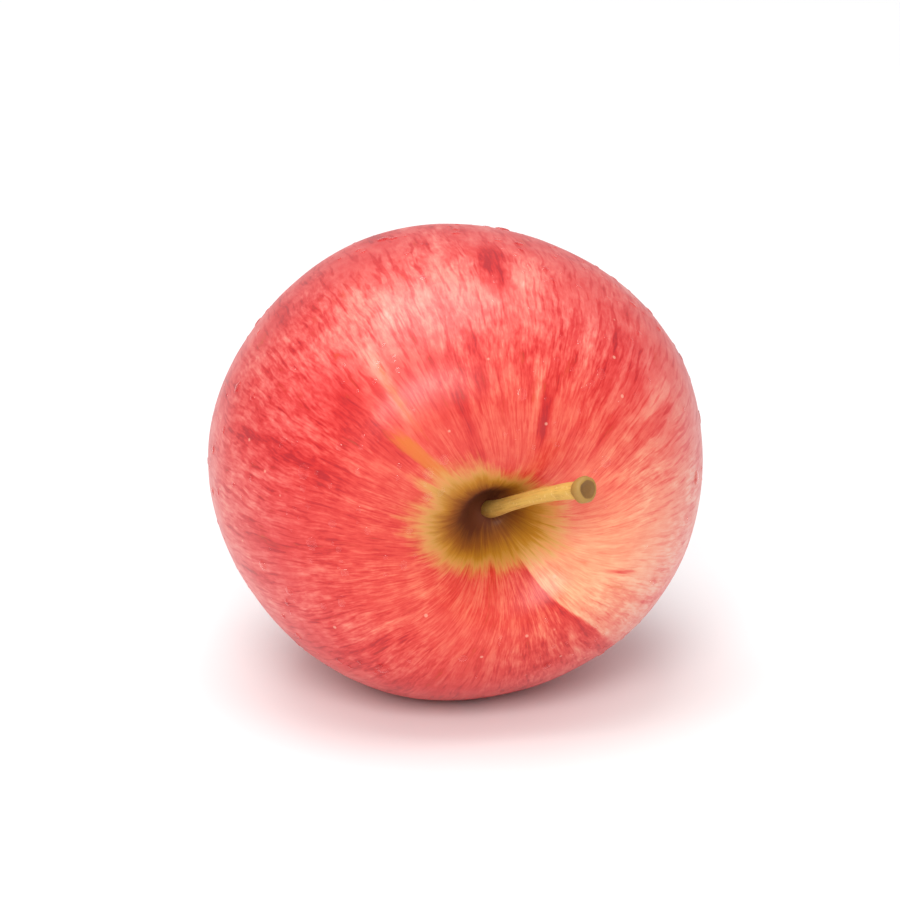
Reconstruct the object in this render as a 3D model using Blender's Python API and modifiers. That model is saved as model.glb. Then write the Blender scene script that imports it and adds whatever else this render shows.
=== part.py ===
"""An apple lying on its side: the fruit, its stalk, five dried sepals and withered stamens.

Metres, +Z up. The core axis lies along Y with the stalk end towards -Y, and the origin is
the middle of the small flat spot that the fruit rests on. Each shape is first built upright,
in millimetres, with its core axis along +Z and the stalk end on top.
"""

import math

import bmesh
import bpy
from mathutils import Matrix, Vector

# Driving dimensions, in millimetres
FRUIT_WIDTH = 70.0  # side to side, across the widest ring
FRUIT_THICKNESS = 67.0  # up and down, across the same ring
FRUIT_LENGTH = 61.0  # along the core axis, shoulders to crown
REST_CUT = 0.9  # how deep the flat spot cuts into the lowest side
REST_AHEAD = 4.4  # how far the flat spot lies from mid-length, towards the stalk
RIB_SWELL = 0.007  # height of the five ribs, as a share of the radius
RIB_ANGLE = 32.0  # degrees from sideways to the first rib, seen from the stalk end
PIT_SIDEWAYS = 1.5  # how far the stalk cavity lies off the core axis
PIT_DOWN = 2.0
STEM_RADIUS = 1.1
STEM_KNOB_RADIUS = 1.8
SEPAL_COUNT = 5
SEPAL_WIDTH = 3.7
SEPAL_THICKNESS = 0.7

FRUIT_SIDES = 64
MM = 0.001

# Half outline of the fruit as (share of the half width, share of the half length), from the
# floor of the stalk's socket, over the shoulder and the side, to the floor of the calyx tube.
SOCKET_OUTLINE = ((0.0, 0.500), (0.046, 0.500))
FRUIT_OUTLINE = (
    (0.048, 0.600),
    (0.085, 0.625),
    (0.125, 0.700),
    (0.180, 0.815),
    (0.255, 0.915),
    (0.345, 0.978),
    (0.450, 1.000),
    (0.570, 0.975),
    (0.710, 0.885),
    (0.840, 0.730),
    (0.935, 0.530),
    (0.987, 0.320),
    (1.000, 0.140),
    (0.988, -0.060),
    (0.942, -0.280),
    (0.860, -0.500),
    (0.745, -0.695),
    (0.615, -0.845),
    (0.485, -0.950),
    (0.370, -1.000),
    (0.270, -0.970),
    (0.190, -0.890),
    (0.130, -0.820),
    (0.090, -0.750),
    (0.072, -0.680),
)
CALYX_TUBE_OUTLINE = ((0.060, -0.630), (0.0, -0.620))

# Centre line of the stalk as (sideways, upward, along the core axis), from the pit's middle.
STEM_PATH = (
    (0.0, 0.0, 15.6),
    (0.05, 0.15, 18.5),
    (0.8, 1.9, 22.5),
    (2.2, 4.2, 27.0),
    (4.1, 6.4, 31.2),
    (6.1, 8.2, 35.2),
    (7.9, 9.6, 38.6),
)
# Thickness of the stalk along its length, as a share of STEM_RADIUS.
STEM_SHARES = (1.08, 1.05, 1.0, 0.95, 0.95, 1.02, 1.15)
# The knob at its free end, as (distance past the path, share of STEM_KNOB_RADIUS).
KNOB_SHAPE = ((0.5, 0.80), (1.1, 1.0), (1.9, 1.0), (2.4, 0.75))

# Centre line of one sepal as (distance from the core axis, distance along it), and its width
# along that line, as a share of SEPAL_WIDTH.
SEPAL_PATH = ((3.7, -25.2), (3.5, -26.4), (3.3, -27.8), (3.6, -28.9), (4.5, -29.7), (5.8, -30.1))
SEPAL_SHARES = (0.85, 1.0, 0.95, 0.75, 0.45, 0.12)
# Its cross-section as (share of half the width, share of half the thickness), cupped inwards.
SEPAL_SECTION = (
    (1.0, -0.7),
    (0.5, 0.7),
    (0.0, 1.0),
    (-0.5, 0.7),
    (-1.0, -0.7),
    (-0.5, -0.9),
    (0.0, -0.8),
    (0.5, -0.9),
)

# Half outline of the stamens, from the deep end to the free end.
STAMENS_OUTLINE = (
    (0.0, -19.4),
    (0.8, -19.6),
    (1.0, -22.0),
    (1.3, -24.5),
    (1.9, -26.9),
    (1.0, -27.8),
    (0.0, -27.4),
)


def smoothstep(low, high, value):
    """0 below low, 1 above high, and a soft ramp between; low may be the greater."""
    share = min(1.0, max(0.0, (value - low) / (high - low)))
    return share * share * (3.0 - 2.0 * share)


def smooth_path(points, pieces):
    """A Catmull-Rom curve through the points, each span split into this many pieces."""
    points = [Vector(p).to_3d() for p in points]
    ends = [2 * points[0] - points[1]] + points + [2 * points[-1] - points[-2]]
    path = []
    for before, start, end, after in zip(ends, ends[1:], ends[2:], ends[3:]):
        for step in range(pieces):
            t = step / pieces
            path.append(
                0.5 * (2 * start + (end - before) * t
                       + (2 * before - 5 * start + 4 * end - after) * t ** 2
                       + (3 * start - before - 3 * end + after) * t ** 3)
            )
    return path + [points[-1]]


def new_material(name, colour, roughness):
    material = bpy.data.materials.new(name)
    material.use_nodes = True
    shader = material.node_tree.nodes["Principled BSDF"]
    shader.inputs["Base Color"].default_value = (*colour, 1.0)
    shader.inputs["Roughness"].default_value = roughness
    shader.inputs["Metallic"].default_value = 0.0
    return material


def evaluated_mesh(obj):
    """The object's mesh with its modifiers or its curve bevel worked out."""
    bpy.context.view_layer.update()
    mesh = bpy.data.meshes.new_from_object(obj.evaluated_get(bpy.context.evaluated_depsgraph_get()))
    bpy.data.objects.remove(obj)
    return mesh


def turned_mesh(name, outline, sides):
    """The mesh of the outline, given as (radius, height), turned once about Z."""
    mesh = bpy.data.meshes.new(name + "_outline")
    points = [(radius, 0.0, height) for radius, height in outline]
    mesh.from_pydata(points, [(i, i + 1) for i in range(len(points) - 1)], [])
    obj = bpy.data.objects.new(name + "_outline", mesh)
    bpy.context.scene.collection.objects.link(obj)
    screw = obj.modifiers.new("turn", "SCREW")
    screw.axis = "Z"
    screw.steps = sides
    screw.render_steps = sides
    screw.use_merge_vertices = True
    screw.merge_threshold = 0.0001
    return evaluated_mesh(obj)


def closed_mesh(name, rings):
    """A mesh of equal rings of points, joined side by side and closed at both ends."""
    count = len(rings[0])
    mesh = bpy.data.meshes.new(name)
    bm = bmesh.new()
    verts = [[bm.verts.new(point) for point in ring] for ring in rings]
    for ring, following in zip(verts, verts[1:]):
        for i in range(count):
            j = (i + 1) % count
            bm.faces.new((ring[i], ring[j], following[j], following[i]))
    bm.faces.new(reversed(verts[0]))
    bm.faces.new(verts[-1])
    bmesh.ops.recalc_face_normals(bm, faces=bm.faces)
    bm.to_mesh(mesh)
    bm.free()
    return mesh


def lay_down(mesh):
    """Turns an upright shape onto its side, above the rest plane, and makes it metres."""
    centre_height = FRUIT_THICKNESS / 2 - REST_CUT
    turn = Matrix.Rotation(math.radians(90), 4, "X")
    mesh.transform(Matrix.Scale(MM, 4) @ Matrix.Translation((0, REST_AHEAD, centre_height)) @ turn)


def add_object(name, mesh, material, collection):
    lay_down(mesh)
    mesh.materials.clear()
    mesh.materials.append(material)
    mesh.polygons.foreach_set("use_smooth", [True] * len(mesh.polygons))
    obj = bpy.data.objects.new(name, mesh)
    collection.objects.link(obj)
    return obj


def shape_fruit(point):
    """Moves a point of the turned fruit: soft ribs, uneven ends, an oval ring, an off-centre stalk."""
    radius = math.hypot(point.x, point.y)
    angle = math.atan2(point.y, point.x)
    outer = smoothstep(3.0, 11.0, radius)
    inner = 1.0 - smoothstep(12.0, 30.0, radius)
    calyx_end = smoothstep(6.0, -28.0, point.z) * outer
    stalk_end = smoothstep(4.0, 29.0, point.z) * outer
    ribs = math.cos(SEPAL_COUNT * (angle - math.radians(RIB_ANGLE)))
    swell = 1.0 + RIB_SWELL * outer * (1.0 + 0.7 * calyx_end) * ribs
    swell += 0.006 * stalk_end * math.cos(3 * angle - 0.8)
    pit = smoothstep(2.0, 14.0, point.z) * (1.0 - smoothstep(9.0, 24.0, radius))
    point.x = point.x * swell + PIT_SIDEWAYS * pit
    point.y = point.y * swell * FRUIT_THICKNESS / FRUIT_WIDTH - PIT_DOWN * pit
    point.z += 0.9 * calyx_end * inner * (1.0 - ribs) / 2
    point.z -= 0.7 * stalk_end * inner * (1.0 + math.cos(2 * angle + 0.9)) / 2


def rest_cutter(collection):
    """A block whose top is the plane that the fruit rests on."""
    side = 60.0
    depth = 10.0
    corners = ((-1, -1), (1, -1), (1, 1), (-1, 1))
    rings = [
        [(x * side / 2 * MM, y * side / 2 * MM, height * MM) for x, y in corners]
        for height in (-depth, 0.0)
    ]
    cutter = bpy.data.objects.new("rest_cutter", closed_mesh("rest_cutter", rings))
    collection.objects.link(cutter)
    cutter.hide_render = True
    cutter.display_type = "WIRE"
    return cutter


def make_fruit(material, collection, cutters):
    half_width = FRUIT_WIDTH / 2
    half_length = FRUIT_LENGTH / 2
    skin = [(p.x, p.y) for p in smooth_path(FRUIT_OUTLINE, 2)]
    outline = [
        (radius * half_width, height * half_length)
        for radius, height in (*SOCKET_OUTLINE, *skin, *CALYX_TUBE_OUTLINE)
    ]
    mesh = turned_mesh("fruit", outline, FRUIT_SIDES)
    for vertex in mesh.vertices:
        shape_fruit(vertex.co)
    fruit = add_object("fruit", mesh, material, collection)
    cut = fruit.modifiers.new("rest_spot", "BOOLEAN")
    cut.operation = "DIFFERENCE"
    cut.solver = "EXACT"
    cut.object = rest_cutter(cutters)


def make_stem(material, collection):
    path = [point + Vector((PIT_SIDEWAYS, -PIT_DOWN, 0.0)) for point in smooth_path(STEM_PATH, 3)]
    radii = [share.x * STEM_RADIUS for share in smooth_path([(s, 0.0) for s in STEM_SHARES], 3)]
    tip = path[-1]
    along = (tip - path[-2]).normalized()
    for ahead, share in KNOB_SHAPE:
        path.append(tip + along * ahead)
        radii.append(share * STEM_KNOB_RADIUS)
    curve = bpy.data.curves.new("stem_path", "CURVE")
    curve.dimensions = "3D"
    curve.bevel_depth = 1.0
    curve.bevel_resolution = 2
    curve.use_fill_caps = True
    spline = curve.splines.new("POLY")
    spline.points.add(len(path) - 1)
    for target, point, radius in zip(spline.points, path, radii):
        target.co = (*point, 1.0)
        target.radius = radius
    obj = bpy.data.objects.new("stem_path", curve)
    bpy.context.scene.collection.objects.link(obj)
    mesh = evaluated_mesh(obj)
    bm = bmesh.new()
    bm.from_mesh(mesh)
    bmesh.ops.remove_doubles(bm, verts=bm.verts, dist=0.001)
    bm.to_mesh(mesh)
    bm.free()
    add_object("stem", mesh, material, collection)


def make_sepal(number, material, collection):
    """A small pointed leaflet that stands at the mouth of the calyx tube and curls outwards."""
    turn = Matrix.Rotation(math.tau * (number - 0.5) / SEPAL_COUNT, 3, "Z")
    path = smooth_path(SEPAL_PATH, 2)
    shares = [p.x for p in smooth_path([(s, 0.0) for s in SEPAL_SHARES], 2)]
    rings = []
    for index, (centre, share) in enumerate(zip(path, shares)):
        along = path[min(index + 1, len(path) - 1)] - path[max(index - 1, 0)]
        outward = Vector((along.y, 0.0, -along.x)).normalized() * SEPAL_THICKNESS / 2
        half = Vector((0.0, share * SEPAL_WIDTH / 2, 0.0))
        middle = Vector((centre.x, 0.0, centre.y))
        rings.append([turn @ (middle + half * side + outward * out) for side, out in SEPAL_SECTION])
    name = f"sepal_{number}"
    add_object(name, closed_mesh(name, rings), material, collection)


def make_stamens(material, collection):
    """The withered tuft in the calyx tube, as one body with a ragged free end."""
    mesh = turned_mesh("stamens", STAMENS_OUTLINE, 20)
    for vertex in mesh.vertices:
        point = vertex.co
        free_end = smoothstep(-23.0, -27.0, point.z)
        angle = math.atan2(point.y, point.x)
        swell = 1.0 + 0.18 * free_end * math.cos(5 * angle)
        point.x *= swell
        point.y *= swell
    add_object("stamens", mesh, material, collection)


def main():
    for obj in list(bpy.data.objects):
        bpy.data.objects.remove(obj)
    apple = bpy.data.collections.new("apple")
    cutters = bpy.data.collections.new("cutters")
    for collection in (apple, cutters):
        bpy.context.scene.collection.children.link(collection)
    cutters.hide_render = True

    make_fruit(new_material("fruit", (0.72, 0.10, 0.08), 0.35), apple, cutters)
    make_stem(new_material("stem", (0.42, 0.27, 0.08), 0.6), apple)
    for number in range(1, SEPAL_COUNT + 1):
        make_sepal(number, new_material(f"sepal_{number}", (0.20, 0.13, 0.07), 0.8), apple)
    make_stamens(new_material("stamens", (0.12, 0.07, 0.04), 0.9), apple)


main()
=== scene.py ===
"""The looks of the apple: skin, stalk, dried sepals, stamens and water droplets on a white floor.

The CAD frame is loaded first and never moved. Shapes are worked out upright in millimetres,
with the core axis along +Z and the stalk end on top, and then laid on their side as the CAD
part lies. Angles around the core are degrees counter-clockwise from sideways (+X), seen from
the stalk end, and a place on the skin is that angle and the distance along the skin from the
middle of the stalk cavity.
"""

import math

import bmesh
import bpy
import numpy as np
from mathutils import Matrix, Vector, noise


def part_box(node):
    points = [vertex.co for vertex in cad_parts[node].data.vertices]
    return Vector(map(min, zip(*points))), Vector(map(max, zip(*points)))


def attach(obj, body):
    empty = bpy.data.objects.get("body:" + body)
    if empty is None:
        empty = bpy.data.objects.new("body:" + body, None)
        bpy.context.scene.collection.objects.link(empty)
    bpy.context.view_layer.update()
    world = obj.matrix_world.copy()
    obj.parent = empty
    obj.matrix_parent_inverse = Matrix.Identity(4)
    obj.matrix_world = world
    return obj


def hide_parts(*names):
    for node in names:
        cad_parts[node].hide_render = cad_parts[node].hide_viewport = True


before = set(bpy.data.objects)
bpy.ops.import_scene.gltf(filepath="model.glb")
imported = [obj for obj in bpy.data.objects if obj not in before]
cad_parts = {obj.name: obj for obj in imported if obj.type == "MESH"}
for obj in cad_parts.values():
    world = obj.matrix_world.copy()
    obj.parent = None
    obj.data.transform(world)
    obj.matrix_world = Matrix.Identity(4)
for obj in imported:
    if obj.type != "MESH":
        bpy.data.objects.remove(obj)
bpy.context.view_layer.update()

MM = 0.001
SEED = 7

# The fruit, as in the CAD part (mm)
FRUIT_WIDTH = 70.0
FRUIT_THICKNESS = 67.0
FRUIT_LENGTH = 61.0
REST_CUT = 0.9
REST_AHEAD = 4.4
RIB_SWELL = 0.007
RIB_ANGLE = 32.0
PIT_SIDEWAYS = 1.5
PIT_DOWN = 2.0
CENTRE_HEIGHT = FRUIT_THICKNESS / 2 - REST_CUT
FRUIT_OUTLINE = (
    (0.0, 0.590),
    (0.048, 0.600),
    (0.085, 0.625),
    (0.125, 0.700),
    (0.180, 0.815),
    (0.255, 0.915),
    (0.345, 0.978),
    (0.450, 1.000),
    (0.570, 0.975),
    (0.710, 0.885),
    (0.840, 0.730),
    (0.935, 0.530),
    (0.987, 0.320),
    (1.000, 0.140),
    (0.988, -0.060),
    (0.942, -0.280),
    (0.860, -0.500),
    (0.745, -0.695),
    (0.615, -0.845),
    (0.485, -0.950),
    (0.370, -1.000),
    (0.270, -0.970),
    (0.190, -0.890),
    (0.130, -0.820),
    (0.090, -0.750),
    (0.072, -0.680),
    (0.060, -0.630),
    (0.0, -0.620),
)
SKIN_AROUND = 512
SKIN_ALONG = 186
POLE_RADIUS = 0.03
UNDULATION = 0.16  # height of the skin's soft unevenness
REST_SOFTNESS = 0.30  # how softly the flat spot rounds off

# The stalk, as in the CAD part (mm)
STEM_RADIUS = 1.1
STEM_KNOB_RADIUS = 1.8
STEM_PATH = (
    (0.0, 0.0, 15.6),
    (0.05, 0.15, 18.5),
    (0.8, 1.9, 22.5),
    (2.2, 4.2, 27.0),
    (4.1, 6.4, 31.2),
    (6.1, 8.2, 35.2),
    (7.9, 9.6, 38.6),
)
STEM_SHARES = (1.15, 1.12, 1.0, 0.93, 0.93, 1.0, 1.15)
# The knob, as (distance past the path, share of STEM_KNOB_RADIUS); the last rings sink into it.
KNOB_SHAPE = (
    (0.35, 0.78),
    (0.75, 0.93),
    (1.15, 1.0),
    (1.65, 1.02),
    (2.05, 0.96),
    (2.30, 0.84),
    (2.28, 0.66),
    (2.08, 0.52),
    (1.98, 0.30),
    (2.00, 0.05),
)

# The remains of the flower (mm)
SEPAL_COUNT = 5
SEPAL_WIDTH = 3.9
SEPAL_PATH = ((3.6, -24.9), (3.5, -26.4), (3.3, -27.8), (3.6, -28.9), (4.5, -29.7), (5.9, -30.0))
SEPAL_SHARES = (0.85, 1.0, 0.95, 0.75, 0.45, 0.06)
STAMEN_COUNT = 20

DROPLET_COUNT = 420
DROPLET_RADIUS = 0.34  # mm, the middle of the range
DROPLET_LARGEST = 1.0  # mm

# Camera and stage
CAMERA_AZIMUTH = -12.0
CAMERA_ELEVATION = 20.0
CAMERA_DISTANCE = 0.95  # m
VIEW_WIDTH = 0.128  # m, width of the picture at the fruit
SENSOR = 36.0
FLOOR_SIZE = 6.0  # m

# How red the skin is: 0 cream, 0.5 pink, 1 deep red
CORAL = 0.64
# The pale wedge: a sharp edge below, fading upwards over a quarter turn
WEDGE_EDGE = -51.0
WEDGE_FADE = 125.0
WEDGE_PALENESS = 0.50
WEDGE_LENGTH = 46.0  # mm along the skin
WEDGE_SWING = 10.0  # degrees that its edge swings by near the cavity
# Broad areas: (middle angle, half width in degrees, middle mm, half length in mm, amount)
BROAD_AREAS = (
    # the pale band over the top is partly pale cream skin and partly a painted sheen of the overhead light
    (105, 50, 44, 13, -0.32),  # pale band over the top
    (190, 40, 54, 12, -0.12),  # paler far side on the left
    (165, 55, 31, 12, 0.10),  # strong red on the left shoulder
    (250, 60, 38, 14, 0.08),  # deeper red underneath
)
# Streaks that are redder (+) or paler (-) than the skin round them:
# (angle near the stalk, angle far from it, half width in degrees, from mm, to mm, amount)
STREAKS = (
    (-62, -53, 3.0, 10, 30, 0.16),  # red edge beside the pale wedge
    (-26, -25, 0.7, 23, 27, 0.45),  # dark scratch in the wedge
    (52, 50, 2.6, 23, 42, 0.18),  # broken red streak on the upper right
    (70, 70, 2.4, 20, 27, 0.34),  # red dash above the stalk
    (74, 74, 2.0, 24, 31, -0.34),  # pale dash beyond it
    (77, 75, 3.4, 34, 53, -0.18),  # pale stripe over the top
    (85, 84, 3.2, 43, 54, 0.32),  # crimson patch near the top
    (106, 105, 3.0, 17, 28, 0.16),  # red tongue down to the cavity
    (126, 123, 2.0, 26, 40, -0.28),  # pale line on the upper left
    (138, 141, 5.0, 22, 35, 0.14),  # strong red patch beside it
    (160, 159, 3.0, 27, 47, 0.12),  # darker streak on the left
)
SCATTERED_STREAKS = 70  # as many more, at random all round
STREAK_SIDE_BLUR = 1.8  # degrees
STREAK_END_BLUR = 2.5  # mm
# How far the golden cavity reaches along the skin (mm): further on the upper left, less below
GOLD_REACH = 12.5
# the extra reach on the upper left also carries the cavity's dark stops further out over its wall there,
# as painted shade
GOLD_WIDER = 5.0
GOLD_WIDER_AT = 150.0
GOLD_NARROWER = 3.0
GOLD_NARROWER_AT = -85.0
# The skin's colour by redness, and the cavity's from its bottom (0) to where its gold ends (1)
SKIN_COLOURS = (
    (0.00, (0.76, 0.46, 0.31)),
    (0.25, (0.74, 0.28, 0.18)),
    (0.50, (0.69, 0.125, 0.088)),
    (0.70, (0.62, 0.046, 0.036)),
    (0.86, (0.53, 0.016, 0.014)),
    (1.00, (0.40, 0.008, 0.012)),
)
NEAR_TINT = (1.02, 0.96, 0.76)  # the skin is warmer near the cavity
FAR_TINT = (1.02, 0.88, 1.06)  # and pinker beyond it
# the darkest cavity stops are partly russet and partly painted shade deep in the pit
CAVITY_COLOURS = (
    (0.20, (0.13, 0.027, 0.004)),
    (0.55, (0.29, 0.088, 0.006)),
    (0.82, (0.47, 0.20, 0.014)),
    (1.00, (0.60, 0.33, 0.070)),
)
# Orange-gold dashes on the red beside the cavity, listed as in STREAKS
ORANGE_STREAKS = (
    (130, 134, 3.4, 17, 27, 0.85),
    (125, 123, 1.6, 24, 38, 0.35),
)


# --- small numbers ---------------------------------------------------------------------------


def smoothstep(low, high, value):
    """0 at low, 1 at high and a soft ramp between, for numbers or arrays; low may be greater."""
    share = np.clip((value - low) / (high - low), 0.0, 1.0)
    return share * share * (3.0 - 2.0 * share)


def smooth_path(points, pieces):
    """A Catmull-Rom curve through the points, each span split into this many pieces."""
    points = [Vector(p).to_3d() for p in points]
    ends = [2 * points[0] - points[1]] + points + [2 * points[-1] - points[-2]]
    path = []
    for before, start, end, after in zip(ends, ends[1:], ends[2:], ends[3:]):
        for step in range(pieces):
            t = step / pieces
            path.append(
                0.5 * (2 * start + (end - before) * t
                       + (2 * before - 5 * start + 4 * end - after) * t ** 2
                       + (3 * start - before - 3 * end + after) * t ** 3)
            )
    return path + [points[-1]]


def angle_apart(angles, centre):
    """Degrees between each angle and the centre, the short way round."""
    return np.abs((angles - centre + 180.0) % 360.0 - 180.0)


def laid_down(points):
    """Upright millimetres to metres in the CAD part's frame."""
    points = np.asarray(points, float)
    x, y, z = points[:, 0], points[:, 1], points[:, 2]
    return np.column_stack([x, REST_AHEAD - z, CENTRE_HEIGHT + y]) * MM


# --- meshes ----------------------------------------------------------------------------------


def new_object(name, mesh, nodes, material):
    """Adds a piece that rides on the part and stands for these CAD nodes."""
    obj = bpy.data.objects.new(name, mesh)
    bpy.context.scene.collection.objects.link(obj)
    mesh.materials.append(material)
    mesh.polygons.foreach_set("use_smooth", [True] * len(mesh.polygons))
    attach(obj, "root")
    if nodes:
        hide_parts(*nodes)
    return obj


def ringed_mesh(name, rings):
    """A closed mesh of equal rings, joined side by side; rings is (ring, point, xyz) in metres."""
    count, around = rings.shape[:2]
    index = np.arange(count * around).reshape(count, around)
    following = np.roll(index, -1, axis=1)
    quads = np.stack([index[:-1], following[:-1], following[1:], index[1:]], axis=-1).reshape(-1, 4)
    faces = quads.tolist() + [index[0][::-1].tolist(), index[-1].tolist()]
    mesh = bpy.data.meshes.new(name)
    mesh.from_pydata(rings.reshape(-1, 3).tolist(), [], faces)
    return mesh


def face_outward(mesh):
    bm = bmesh.new()
    bm.from_mesh(mesh)
    bmesh.ops.recalc_face_normals(bm, faces=bm.faces)
    bm.to_mesh(mesh)
    bm.free()


def add_float(mesh, name, values):
    attribute = mesh.attributes.new(name, "FLOAT", "POINT")
    attribute.data.foreach_set("value", np.asarray(values, np.float32).ravel())


def add_vector(mesh, name, values):
    attribute = mesh.attributes.new(name, "FLOAT_VECTOR", "POINT")
    attribute.data.foreach_set("vector", np.asarray(values, np.float32).ravel())


# --- material nodes --------------------------------------------------------------------------


class Paint:
    """A material's node tree, with a short method for each kind of node it uses."""

    def __init__(self, name):
        self.material = bpy.data.materials.new(name)
        self.material.use_nodes = True
        self.tree = self.material.node_tree
        self.shader = self.tree.nodes["Principled BSDF"]

    def put(self, socket, value):
        if isinstance(value, bpy.types.NodeSocket):
            self.tree.links.new(value, socket)
        else:
            socket.default_value = value

    def set(self, **values):
        """Sets inputs of the shader, with _ for the spaces in their names."""
        for name, value in values.items():
            self.put(self.shader.inputs[name.replace("_", " ")], value)

    def attribute(self, name, output="Fac"):
        node = self.tree.nodes.new("ShaderNodeAttribute")
        node.attribute_name = name
        return node.outputs[output]

    def object_place(self):
        return self.tree.nodes.new("ShaderNodeTexCoord").outputs["Object"]

    def stretch(self, vector, factors):
        node = self.tree.nodes.new("ShaderNodeVectorMath")
        node.operation = "MULTIPLY"
        self.put(node.inputs[0], vector)
        node.inputs[1].default_value = factors
        return node.outputs[0]

    def shift(self, vector, offset, amount):
        """vector + (offset - 0.5) * amount, for an offset that is a noise colour."""
        node = self.tree.nodes.new("ShaderNodeVectorMath")
        node.operation = "MULTIPLY_ADD"
        self.put(node.inputs[0], offset)
        node.inputs[1].default_value = (amount,) * 3
        self.put(node.inputs[2], vector)
        return node.outputs[0]

    def noise(self, vector, scale, detail=2.0, roughness=0.5, output="Fac"):
        node = self.tree.nodes.new("ShaderNodeTexNoise")
        self.put(node.inputs["Vector"], vector)
        node.inputs["Scale"].default_value = scale
        node.inputs["Detail"].default_value = detail
        node.inputs["Roughness"].default_value = roughness
        return node.outputs[output]

    def cells(self, vector, scale):
        """Distance to the nearest of many scattered points."""
        node = self.tree.nodes.new("ShaderNodeTexVoronoi")
        self.put(node.inputs["Vector"], vector)
        node.inputs["Scale"].default_value = scale
        return node.outputs["Distance"]

    def math(self, operation, first, second=0.0, third=0.0):
        node = self.tree.nodes.new("ShaderNodeMath")
        node.operation = operation
        for socket, value in zip(node.inputs, (first, second, third)):
            self.put(socket, value)
        return node.outputs[0]

    def total(self, start, *terms):
        """start + factor * (value - 0.5) for each (value, factor)."""
        for value, factor in terms:
            start = self.math("MULTIPLY_ADD", value, factor, self.math("ADD", start, -0.5 * factor))
        return start

    def ramp(self, value, low, high, to_low=0.0, to_high=1.0):
        node = self.tree.nodes.new("ShaderNodeMapRange")
        node.interpolation_type = "SMOOTHSTEP"
        for name, given in (
            ("Value", value),
            ("From Min", low),
            ("From Max", high),
            ("To Min", to_low),
            ("To Max", to_high),
        ):
            self.put(node.inputs[name], given)
        return node.outputs["Result"]

    def mix(self, factor, first, second):
        node = self.tree.nodes.new("ShaderNodeMix")
        node.data_type = "RGBA"
        self.put(node.inputs[0], factor)
        for socket, value in ((node.inputs[6], first), (node.inputs[7], second)):
            self.put(socket, value if isinstance(value, bpy.types.NodeSocket) else (*value, 1.0))
        return node.outputs[2]

    def gradient(self, value, stops):
        """A colour ramp of (place, colour) stops."""
        node = self.tree.nodes.new("ShaderNodeValToRGB")
        elements = node.color_ramp.elements
        while len(elements) < len(stops):
            elements.new(0.5)
        for element, (place, colour) in zip(elements, stops):
            element.position = place
            element.color = (*colour, 1.0)
        self.put(node.inputs["Fac"], value)
        return node.outputs["Color"]

    def tint(self, factor, colour, first, second):
        """The colour times a tint between the first and the second."""
        node = self.tree.nodes.new("ShaderNodeMix")
        node.data_type = "RGBA"
        node.blend_type = "MULTIPLY"
        node.inputs[0].default_value = 1.0
        self.put(node.inputs[6], colour)
        self.put(node.inputs[7], self.mix(factor, first, second))
        return node.outputs[2]

    def bump(self, height, strength, distance):
        node = self.tree.nodes.new("ShaderNodeBump")
        node.inputs["Strength"].default_value = strength
        node.inputs["Distance"].default_value = distance
        self.put(node.inputs["Height"], height)
        return node.outputs["Normal"]


# --- the skin --------------------------------------------------------------------------------


def shaped(x, y, z):
    """The CAD part's ribs, uneven ends, oval ring and off-centre stalk cavity, for arrays."""
    radius = np.hypot(x, y)
    angle = np.arctan2(y, x)
    outer = smoothstep(3.0, 11.0, radius)
    inner = 1.0 - smoothstep(12.0, 30.0, radius)
    calyx_end = smoothstep(6.0, -28.0, z) * outer
    stalk_end = smoothstep(4.0, 29.0, z) * outer
    ribs = np.cos(SEPAL_COUNT * (angle - math.radians(RIB_ANGLE)))
    swell = 1.0 + RIB_SWELL * outer * (1.0 + 0.7 * calyx_end) * ribs
    swell += 0.006 * stalk_end * np.cos(3 * angle - 0.8)
    pit = smoothstep(2.0, 14.0, z) * (1.0 - smoothstep(9.0, 24.0, radius))
    x = x * swell + PIT_SIDEWAYS * pit
    y = y * swell * FRUIT_THICKNESS / FRUIT_WIDTH - PIT_DOWN * pit
    z = z + 0.9 * calyx_end * inner * (1.0 - ribs) / 2
    z = z - 0.7 * stalk_end * inner * (1.0 + np.cos(2 * angle + 0.9)) / 2
    return x, y, z


def even_outline():
    """(radius, height, distance along the skin) at even steps of that distance, in mm."""
    fine = np.array([(p.x, p.y) for p in smooth_path(FRUIT_OUTLINE, 24)])
    fine *= (FRUIT_WIDTH / 2, FRUIT_LENGTH / 2)
    along = np.concatenate([[0.0], np.cumsum(np.hypot(*np.diff(fine, axis=0).T))])
    steps = np.linspace(0.0, along[-1], SKIN_ALONG)
    radius = np.maximum(np.interp(steps, along, fine[:, 0]), POLE_RADIUS)
    return radius, np.interp(steps, along, fine[:, 1]), steps


def streaked(streaks, degrees, along):
    """The sum of soft-edged streaks at each place on the skin."""
    amount = np.zeros_like(degrees)
    for near, far, half_width, start, stop, strength in streaks:
        centre = near + (far - near) * np.clip((along - start) / (stop - start), 0.0, 1.0)
        edge = min(STREAK_SIDE_BLUR, 0.8 * half_width)
        beside = smoothstep(half_width + edge, half_width - edge, angle_apart(degrees, centre))
        within = smoothstep(start - STREAK_END_BLUR, start + STREAK_END_BLUR, along)
        within = within * smoothstep(stop + STREAK_END_BLUR, stop - STREAK_END_BLUR, along)
        amount += strength * beside * within
    return amount


def scattered_streaks():
    """Random streaks all round, from the shoulder to the blossom end, listed as in STREAKS."""
    dice = np.random.default_rng(SEED)
    streaks = []
    for _ in range(SCATTERED_STREAKS):
        angle = dice.uniform(-180.0, 180.0)
        start = dice.uniform(20.0, 88.0)
        amount = dice.choice((-0.14, 0.12, 0.16))
        half_width = dice.uniform(1.0, 3.2)
        far_angle = angle + dice.uniform(-2.0, 2.0)
        stop = start + dice.uniform(7.0, 16.0)
        streaks.append((angle, far_angle, half_width, start, stop, amount))
    return tuple(streaks)


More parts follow.
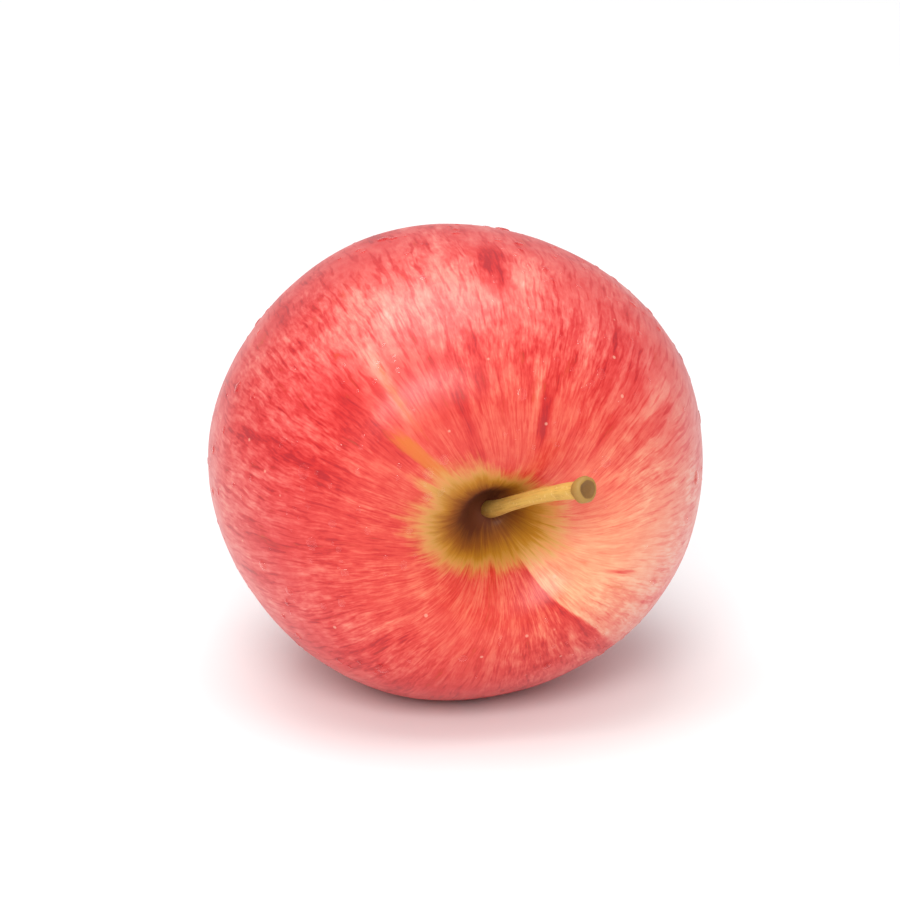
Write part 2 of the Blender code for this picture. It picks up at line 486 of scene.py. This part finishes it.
def skin_tone(degrees, along):
    """How red the skin is: coral, less the pale wedge, with broad areas and single streaks."""
    swing = WEDGE_SWING * smoothstep(28.0, 10.0, along)
    past_edge = (degrees - WEDGE_EDGE + swing + 30.0) % 360.0 - 30.0
    wedge = smoothstep(-0.8, 0.8, past_edge) * smoothstep(WEDGE_FADE, 10.0, past_edge)
    wedge = wedge * smoothstep(WEDGE_LENGTH + 12.0, WEDGE_LENGTH - 12.0, along)
    tone = CORAL - WEDGE_PALENESS * wedge
    for angle, half_width, middle, half_length, amount in BROAD_AREAS:
        beside = smoothstep(half_width, 0.0, angle_apart(degrees, angle))
        tone = tone + amount * beside * smoothstep(half_length, 0.0, np.abs(along - middle))
    return tone + streaked(STREAKS + scattered_streaks(), degrees, along)


def gold_reach(degrees):
    """Distance along the skin at which the cavity's gold gives way to red."""
    wider = GOLD_WIDER * smoothstep(75.0, 15.0, angle_apart(degrees, GOLD_WIDER_AT))
    narrower = GOLD_NARROWER * smoothstep(70.0, 10.0, angle_apart(degrees, GOLD_NARROWER_AT))
    return GOLD_REACH + wider - narrower


def make_skin(material):
    radius, height, along = even_outline()
    around = np.linspace(0.0, math.tau, SKIN_AROUND, endpoint=False)
    angle, distance = np.meshgrid(around, along)
    upright_height = np.broadcast_to(height[:, None], angle.shape)
    x, y, z = shaped(radius[:, None] * np.cos(angle), radius[:, None] * np.sin(angle), upright_height)
    points = laid_down(np.column_stack([x.ravel(), y.ravel(), z.ravel()]))
    centre = np.array((0.0, REST_AHEAD, CENTRE_HEIGHT)) * MM
    outward = points - centre
    outward /= np.maximum(np.linalg.norm(outward, axis=1, keepdims=True), 1e-9)
    uneven = np.array([noise.fractal(Vector(p) * 55.0, 0.9, 2.1, 3) for p in points])
    fade = smoothstep(6.0, 20.0, distance.ravel())
    fade = fade * smoothstep(along[-1] - 6.0, along[-1] - 14.0, distance.ravel())
    points += outward * (uneven * fade * UNDULATION * MM)[:, None]
    soft = REST_SOFTNESS * MM
    points[:, 2] = 0.5 * (points[:, 2] + np.sqrt(points[:, 2] ** 2 + soft ** 2))
    mesh = ringed_mesh("apple_skin", points.reshape(*angle.shape, 3))

    degrees = np.degrees(angle)
    reach = gold_reach(degrees)
    # painted light and shade: the cavity is painted lighter on its right side and darker on its left wall,
    # as the light falls there
    painted_side_light = 0.20 * np.cos(np.radians(degrees + 10.0))
    values = {
        "tone": skin_tone(degrees, distance),
        "orange": streaked(ORANGE_STREAKS, degrees, distance),
        "cavity": distance / reach + painted_side_light * smoothstep(1.1, 0.5, distance / reach),
        "calyx": smoothstep(along[-1] - 26.0, along[-1] - 13.0, distance),
        "far": smoothstep(18.0, 42.0, distance),
    }
    for name, value in values.items():
        add_float(mesh, name, value)
    add_vector(mesh, "skin_place", np.stack([np.cos(angle), np.sin(angle), distance / 10.0], axis=-1))
    return new_object("apple_skin", mesh, ("fruit",), material)


def skin_paint():
    paint = Paint("apple_skin")
    where = paint.object_place()
    wander = paint.noise(where, 130.0, 2.0, output="Color")
    place = paint.shift(paint.attribute("skin_place", "Vector"), wander, 0.05)
    broad = paint.noise(paint.stretch(place, (2.6, 2.6, 0.35)), 1.0, 2.0)
    medium = paint.noise(paint.stretch(place, (9.0, 9.0, 0.9)), 1.0, 3.0, 0.55)
    fine = paint.noise(paint.stretch(place, (30.0, 30.0, 2.8)), 1.0, 3.0, 0.6)
    thin = paint.noise(paint.stretch(place, (80.0, 80.0, 6.0)), 1.0, 2.0, 0.6)
    mottle = paint.noise(where, 420.0, 3.0, 0.6)
    cloud = paint.noise(where, 60.0, 2.0)

    dash = paint.noise(paint.stretch(place, (46.0, 46.0, 1.7)), 1.0, 1.0, 0.5)

    grain = paint.total(0.0, (fine, 0.60), (thin, 0.42), (mottle, 0.40))
    tone = paint.total(paint.attribute("tone"), (broad, 0.25), (medium, 0.42))
    tone = paint.math("MULTIPLY_ADD", grain, paint.ramp(cloud, 0.35, 0.65, 0.55, 1.35), tone)
    far = paint.attribute("far")
    dash_depth = paint.math("MULTIPLY_ADD", far, 0.10, 0.08)
    dashes = paint.math("MULTIPLY", paint.ramp(dash, 0.54, 0.66), dash_depth)
    tone = paint.math("ADD", tone, dashes)
    red = paint.gradient(tone, SKIN_COLOURS)
    red = paint.tint(far, red, NEAR_TINT, FAR_TINT)
    calyx = paint.total(paint.attribute("calyx"), (medium, 0.8), (fine, 0.6))
    red = paint.mix(paint.ramp(calyx, 0.1, 1.1, 0.0, 0.85), red, (0.60, 0.36, 0.09))
    orange = paint.total(paint.attribute("orange"), (medium, 0.5), (fine, 0.9), (mottle, 0.8))
    red = paint.mix(paint.ramp(orange, 0.15, 0.95, 0.0, 0.8), red, (0.62, 0.15, 0.012))
    dots = paint.ramp(paint.cells(where, 190.0), 0.062, 0.035)
    red = paint.mix(paint.math("MULTIPLY", dots, 0.5), red, (0.80, 0.42, 0.30))

    cavity = paint.total(paint.attribute("cavity"), (medium, 0.50), (fine, 0.32), (mottle, 0.12))
    # the cavity gradient is gold, with painted shade in its dark stops and on its left wall
    gold = paint.gradient(cavity, CAVITY_COLOURS)
    colour = paint.mix(paint.ramp(cavity, 0.84, 1.26), gold, red)

    relief = paint.total(0.5, (mottle, 0.6), (medium, 0.5))
    paint.set(
        Base_Color=colour,
        Roughness=paint.total(paint.ramp(cavity, 0.2, 1.0, 0.85, 0.38), (cloud, 0.10), (mottle, 0.10)),
        Specular_IOR_Level=0.40,
        Coat_Weight=0.12,
        Coat_Roughness=0.25,
        Subsurface_Weight=0.08,
        Subsurface_Radius=(1.0, 0.35, 0.2),
        Subsurface_Scale=0.002,
        Normal=paint.bump(relief, 0.25, 0.00012),
    )
    return paint.material


# --- the stalk -------------------------------------------------------------------------------


def swept_rings(path, radii, around, wobble):
    """Rings of points round a path; wobble(ring, angle) is each point's share of the radius."""
    rings = []
    side = Vector((1.0, 0.0, 0.0))
    for index, (centre, radius) in enumerate(zip(path, radii)):
        before = path[max(index - 1, 0)]
        after = path[min(index + 1, len(path) - 1)]
        if (after - before).length > 1e-6:
            along = (after - before).normalized()
        side = (side - along * side.dot(along)).normalized()
        across = along.cross(side)
        ring = []
        for step in range(around):
            angle = math.tau * step / around
            reach = radius * wobble(index, angle)
            ring.append(centre + (side * math.cos(angle) + across * math.sin(angle)) * reach)
        rings.append(ring)
    return rings


def make_stem(material):
    pieces = 10
    path = [p + Vector((PIT_SIDEWAYS, -PIT_DOWN, 0.0)) for p in smooth_path(STEM_PATH, pieces)]
    radii = [p.x * STEM_RADIUS for p in smooth_path([(s, 0.0) for s in STEM_SHARES], pieces)]
    tip = path[-1]
    along = (tip - path[-2]).normalized()
    shaft_rings = len(path)
    frames = list(path)
    for ahead, share in KNOB_SHAPE:
        path.append(tip + along * ahead)
        frames.append(tip + along * (0.5 * len(frames)))
        radii.append(share * STEM_KNOB_RADIUS)

    def wobble(index, angle):
        knob = smoothstep(shaft_rings - 4, shaft_rings + 2, index)
        ridges = 0.045 * math.cos(3 * angle + 0.05 * index) + 0.03 * math.cos(7 * angle - 0.08 * index)
        place = Vector((math.cos(angle) * 1.4, math.sin(angle) * 1.4, index * 0.16))
        lumps = noise.noise(place) * (0.05 + 0.10 * knob)
        return 1.0 + ridges * (1.0 - 0.5 * knob) + lumps

    around = 40
    rings = swept_rings(frames, radii, around, wobble)
    for ring, centre, frame_centre in zip(rings, path, frames):
        for point in ring:
            point += centre - frame_centre
    flat = laid_down([point for ring in rings for point in ring])
    mesh = ringed_mesh("apple_stalk", flat.reshape(len(rings), around, 3))
    face_outward(mesh)
    share = np.repeat(np.arange(len(rings)) / (shaft_rings - 1), around)
    add_float(mesh, "along", np.minimum(share, 1.0))
    knob = np.repeat([0.0] * shaft_rings + [1.0] * len(KNOB_SHAPE), around)
    add_float(mesh, "knob", knob)
    scar = np.repeat([0.0] * (len(rings) - 4) + [1.0] * 4, around)
    add_float(mesh, "scar", scar)
    angles = np.tile(np.linspace(0.0, math.tau, around, endpoint=False), len(rings))
    length = np.repeat(np.arange(len(rings)) * 0.04, around)
    add_vector(mesh, "grain", np.column_stack([np.cos(angles), np.sin(angles), length]))
    return new_object("apple_stalk", mesh, ("stem",), material)


def stem_paint():
    paint = Paint("apple_stalk")
    where = paint.object_place()
    grain = paint.noise(paint.stretch(paint.attribute("grain", "Vector"), (5.0, 5.0, 3.0)), 1.0, 4.0, 0.6)
    specks = paint.noise(where, 2200.0, 3.0, 0.6)
    blotch = paint.noise(where, 420.0, 3.0, 0.6)
    along = paint.attribute("along")
    colour = paint.mix(paint.ramp(along, 0.05, 0.45), (0.36, 0.19, 0.03), (0.62, 0.38, 0.085))
    streaks = paint.total(0.5, (grain, 1.2), (blotch, 0.6))
    colour = paint.mix(paint.ramp(streaks, 0.45, 0.85, 0.0, 0.75), colour, (0.33, 0.17, 0.035))
    colour = paint.mix(paint.ramp(specks, 0.56, 0.70, 0.0, 0.5), colour, (0.78, 0.56, 0.22))
    browning = paint.total(paint.attribute("knob"), (blotch, 0.5))
    colour = paint.mix(paint.ramp(browning, 0.35, 0.9, 0.0, 0.92), colour, (0.33, 0.18, 0.040))
    scar = paint.total(paint.attribute("scar"), (blotch, 0.6))
    colour = paint.mix(paint.ramp(scar, 0.3, 0.9, 0.0, 0.85), colour, (0.17, 0.075, 0.018))
    relief = paint.total(0.5, (grain, 0.9), (specks, 0.5))
    paint.set(
        Base_Color=colour,
        Roughness=paint.total(0.55, (specks, 0.2)),
        Specular_IOR_Level=0.35,
        Normal=paint.bump(relief, 0.6, 0.00012),
    )
    return paint.material


# --- the remains of the flower ---------------------------------------------------------------


def make_sepal(number, material):
    """One dried, crumpled leaflet: a cupped sheet with a thickness, curled out at its tip."""
    pieces = 6
    across = 12
    path = smooth_path(SEPAL_PATH, pieces)
    shares = [p.x for p in smooth_path([(s, 0.0) for s in SEPAL_SHARES], pieces)]
    sheet = []
    for index, (centre, share) in enumerate(zip(path, shares)):
        along = path[min(index + 1, len(path) - 1)] - path[max(index - 1, 0)]
        outward = Vector((along.y, 0.0, -along.x)).normalized()
        for step in range(across + 1):
            side = 2.0 * step / across - 1.0
            cupped = -0.55 * share * side * side
            ruffle = 0.22 * noise.noise(Vector((side * 1.6, index * 0.35, number * 7.3)))
            middle_rib = 0.12 * math.exp(-((side * 4.0) ** 2))
            point = Vector((centre.x, side * share * SEPAL_WIDTH / 2, centre.y))
            sheet.append(point + outward * (cupped + ruffle - middle_rib))
    turn = Matrix.Rotation(math.tau * (number - 0.5) / SEPAL_COUNT, 3, "Z")
    points = laid_down([turn @ point for point in sheet])
    row = across + 1
    faces = [
        (i * row + j, i * row + j + 1, (i + 1) * row + j + 1, (i + 1) * row + j)
        for i in range(len(path) - 1)
        for j in range(across)
    ]
    name = f"dried_sepal_{number}"
    mesh = bpy.data.meshes.new(name)
    mesh.from_pydata(points.tolist(), [], faces)
    add_float(mesh, "along", np.repeat(np.linspace(0.0, 1.0, len(path)), row))
    add_float(mesh, "side", np.tile(np.linspace(-1.0, 1.0, row), len(path)))
    node = f"sepal_{number}"
    obj = new_object(name, mesh, (node,), material)
    solid = obj.modifiers.new("thickness", "SOLIDIFY")
    solid.thickness = 0.28 * MM
    solid.offset = 0.0
    return obj


def sepal_paint():
    paint = Paint("dried_sepal")
    where = paint.object_place()
    veins = paint.noise(paint.stretch(paint.attribute("side"), (9.0, 9.0, 9.0)), 1.0, 3.0)
    blotch = paint.noise(where, 700.0, 4.0, 0.65)
    hairs = paint.noise(where, 3200.0, 2.0, 0.7)
    towards_tip = paint.ramp(paint.attribute("along"), 0.0, 0.7)
    colour = paint.mix(towards_tip, (0.16, 0.13, 0.045), (0.13, 0.065, 0.028))
    colour = paint.mix(paint.ramp(blotch, 0.45, 0.65), colour, (0.07, 0.035, 0.018))
    colour = paint.mix(paint.ramp(hairs, 0.52, 0.68, 0.0, 0.6), colour, (0.40, 0.33, 0.22))
    relief = paint.total(0.5, (veins, 0.6), (blotch, 0.8), (hairs, 0.6))
    paint.set(
        Base_Color=colour,
        Roughness=0.85,
        Specular_IOR_Level=0.2,
        Sheen_Weight=0.3,
        Sheen_Roughness=0.5,
        Normal=paint.bump(relief, 0.8, 0.0002),
    )
    return paint.material


def make_stamens(material):
    """A tuft of withered filaments, each ending in a small shrunken anther."""
    dice = np.random.default_rng(SEED)
    around = 7
    all_points = []
    faces = []
    tips = []
    for number in range(STAMEN_COUNT):
        turn = math.tau * number * 0.382
        foot = 0.95 * math.sqrt((number + 0.5) / STAMEN_COUNT)
        lean = foot * dice.uniform(1.3, 2.1)
        length = dice.uniform(5.6, 7.4)
        bend = dice.uniform(-0.9, 0.9)
        path = []
        radii = []
        for step in range(12):
            share = step / 11
            reach = foot + (lean - foot) * share ** 1.4
            twist = turn + bend * share * share
            path.append(Vector((reach * math.cos(twist), reach * math.sin(twist), -20.6 - length * share)))
            anther = math.exp(-((share - 0.93) / 0.06) ** 2)
            radii.append(0.13 * (1.0 - 0.4 * share) + 0.19 * anther)
        rings = swept_rings(path, radii, around, lambda index, angle: 1.0)
        start = len(all_points)
        all_points += [point for ring in rings for point in ring]
        for i in range(len(rings) - 1):
            for j in range(around):
                k = (j + 1) % around
                low = start + i * around
                faces.append((low + j, low + k, low + around + k, low + around + j))
        faces.append([start + j for j in reversed(range(around))])
        faces.append([start + (len(rings) - 1) * around + j for j in range(around)])
        tips += [step / 11 for step in range(12) for _ in range(around)]
    mesh = bpy.data.meshes.new("withered_stamens")
    mesh.from_pydata(laid_down(all_points).tolist(), [], faces)
    face_outward(mesh)
    add_float(mesh, "tip", tips)
    return new_object("withered_stamens", mesh, ("stamens",), material)


def stamen_paint():
    paint = Paint("withered_stamens")
    where = paint.object_place()
    specks = paint.noise(where, 2600.0, 3.0, 0.6)
    colour = paint.mix(paint.ramp(specks, 0.4, 0.6), (0.11, 0.055, 0.025), (0.20, 0.11, 0.05))
    colour = paint.mix(paint.ramp(paint.attribute("tip"), 0.82, 0.92), colour, (0.055, 0.028, 0.016))
    paint.set(
        Base_Color=colour,
        Roughness=paint.total(0.8, (specks, 0.2)),
        Specular_IOR_Level=0.2,
        Normal=paint.bump(specks, 0.6, 0.0001),
    )
    return paint.material


# --- water droplets --------------------------------------------------------------------------


def make_droplets(skin, material):
    """Small beads of water that cling to the skin, each a low dome sunk a little into it."""
    dice = np.random.default_rng(SEED)
    mesh = skin.data
    centres = np.zeros(len(mesh.polygons) * 3)
    normals = np.zeros(len(mesh.polygons) * 3)
    areas = np.zeros(len(mesh.polygons))
    mesh.polygons.foreach_get("center", centres)
    mesh.polygons.foreach_get("normal", normals)
    mesh.polygons.foreach_get("area", areas)
    centres = centres.reshape(-1, 3)
    normals = normals.reshape(-1, 3)
    place = np.zeros(len(mesh.vertices) * 3)
    mesh.attributes["skin_place"].data.foreach_get("vector", place)
    first = np.zeros(len(mesh.polygons), int)
    mesh.polygons.foreach_get("loop_start", first)
    corner = np.zeros(len(mesh.loops), int)
    mesh.loops.foreach_get("vertex_index", corner)
    along = place.reshape(-1, 3)[corner[first], 2] * 10.0
    open_skin = smoothstep(14.0, 20.0, along) * smoothstep(86.0, 78.0, along)
    height = smoothstep(2.0 * MM, 12.0 * MM, centres[:, 2])
    clumps = np.array([noise.noise(Vector(c) * 70.0) for c in centres])
    weight = areas * open_skin * height * (0.25 + smoothstep(-0.15, 0.45, clumps))
    picked = dice.choice(len(weight), DROPLET_COUNT, replace=False, p=weight / weight.sum())

    bead = bmesh.new()
    bmesh.ops.create_icosphere(bead, subdivisions=3, radius=1.0)
    dome = np.array([v.co for v in bead.verts])
    dome_faces = np.array([[v.index for v in f.verts] for f in bead.faces])
    bead.free()
    dome[:, 2] = np.where(dome[:, 2] > 0, dome[:, 2], dome[:, 2] * 0.35)
    points = []
    faces = []
    placed = []
    for face in picked:
        size = min(DROPLET_LARGEST, DROPLET_RADIUS * math.exp(dice.normal(0.0, 0.5))) * MM
        normal = Vector(normals[face])
        centre = Vector(centres[face])
        if any((centre - other).length < 1.15 * (size + reach) for other, reach in placed):
            continue
        placed.append((centre, size))
        down = Vector((0.0, 0.0, -1.0))
        side = (down - normal * down.dot(normal)).normalized()
        across = normal.cross(side)
        stretch = dice.uniform(1.0, 1.22)
        squeeze = dice.uniform(0.88, 1.0)
        tall = dice.uniform(0.55, 0.78)
        shape = dome * (stretch, squeeze, tall)
        shape[:, 2] += 0.10 * shape[:, 0] * (shape[:, 2] > 0)
        basis = np.array([side, across, normal])
        faces += (dome_faces + len(points) * len(dome)).tolist()
        points.append(np.array(centre) + shape @ basis * size)
    drops = bpy.data.meshes.new("water_droplets")
    drops.from_pydata(np.concatenate(points).tolist(), [], faces)
    droplets = new_object("water_droplets", drops, (), material)
    droplets.visible_shadow = False
    droplets.visible_diffuse = False
    return droplets


def water_paint():
    paint = Paint("water")
    ripple = paint.noise(paint.object_place(), 400.0, 1.0)
    paint.set(
        Base_Color=(1.0, 1.0, 1.0, 1.0),
        Roughness=paint.total(0.02, (ripple, 0.02)),
        IOR=1.33,
        Transmission_Weight=1.0,
    )
    return paint.material


# --- stage, light and camera -----------------------------------------------------------------


def make_floor():
    mesh = bpy.data.meshes.new("floor")
    half = FLOOR_SIZE / 2
    corners = [(-half, -half, 0.0), (half, -half, 0.0), (half, half, 0.0), (-half, half, 0.0)]
    mesh.from_pydata(corners, [], [(0, 1, 2, 3)])
    floor = bpy.data.objects.new("floor", mesh)
    bpy.context.scene.collection.objects.link(floor)
    paint = Paint("floor")
    tone = paint.noise(paint.object_place(), 3.0, 2.0)
    paint.set(
        Base_Color=paint.mix(tone, (0.90, 0.90, 0.905), (0.92, 0.92, 0.925)),
        Roughness=0.7,
        Specular_IOR_Level=0.2,
    )
    mesh.materials.append(paint.material)


def add_softbox(name, place, size, watts, colour):
    """A square area light that faces the middle of the fruit."""
    light = bpy.data.lights.new(name, "AREA")
    light.size = size
    light.energy = watts
    light.color = colour
    box = bpy.data.objects.new(name, light)
    box.location = place
    aim = Vector((0.0, REST_AHEAD * MM, CENTRE_HEIGHT * MM)) - Vector(place)
    box.rotation_euler = aim.to_track_quat("-Z", "Y").to_euler()
    bpy.context.scene.collection.objects.link(box)


def light_stage():
    world = bpy.data.worlds.new("studio")
    world.use_nodes = True
    sky = world.node_tree.nodes["Background"]
    sky.inputs["Color"].default_value = (1.0, 1.0, 1.0, 1.0)
    sky.inputs["Strength"].default_value = 0.60
    bpy.context.scene.world = world
    bpy.context.scene.view_settings.view_transform = "Standard"
    add_softbox("overhead", (-0.10, 0.05, 0.80), 0.60, 3.6, (1.0, 1.0, 1.0))
    add_softbox("front", (-0.25, -0.80, 0.62), 0.50, 6.5, (1.0, 0.99, 0.98))


def add_camera():
    low, high = (Vector(corner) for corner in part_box("fruit"))
    target = (low + high) / 2
    azimuth = math.radians(CAMERA_AZIMUTH)
    elevation = math.radians(CAMERA_ELEVATION)
    away = Vector((
        math.sin(azimuth) * math.cos(elevation),
        -math.cos(azimuth) * math.cos(elevation),
        math.sin(elevation),
    ))
    data = bpy.data.cameras.new("camera")
    data.sensor_width = SENSOR
    data.lens = SENSOR * CAMERA_DISTANCE / VIEW_WIDTH
    camera = bpy.data.objects.new("camera", data)
    camera.location = target + away * CAMERA_DISTANCE
    camera.rotation_euler = (-away).to_track_quat("-Z", "Y").to_euler()
    bpy.context.scene.collection.objects.link(camera)
    bpy.context.scene.camera = camera


def main():
    add_camera()
    light_stage()
    make_floor()
    skin = make_skin(skin_paint())
    make_stem(stem_paint())
    for number in range(1, SEPAL_COUNT + 1):
        make_sepal(number, sepal_paint())
    make_stamens(stamen_paint())
    make_droplets(skin, water_paint())


main()
bpy.context.view_layer.update()
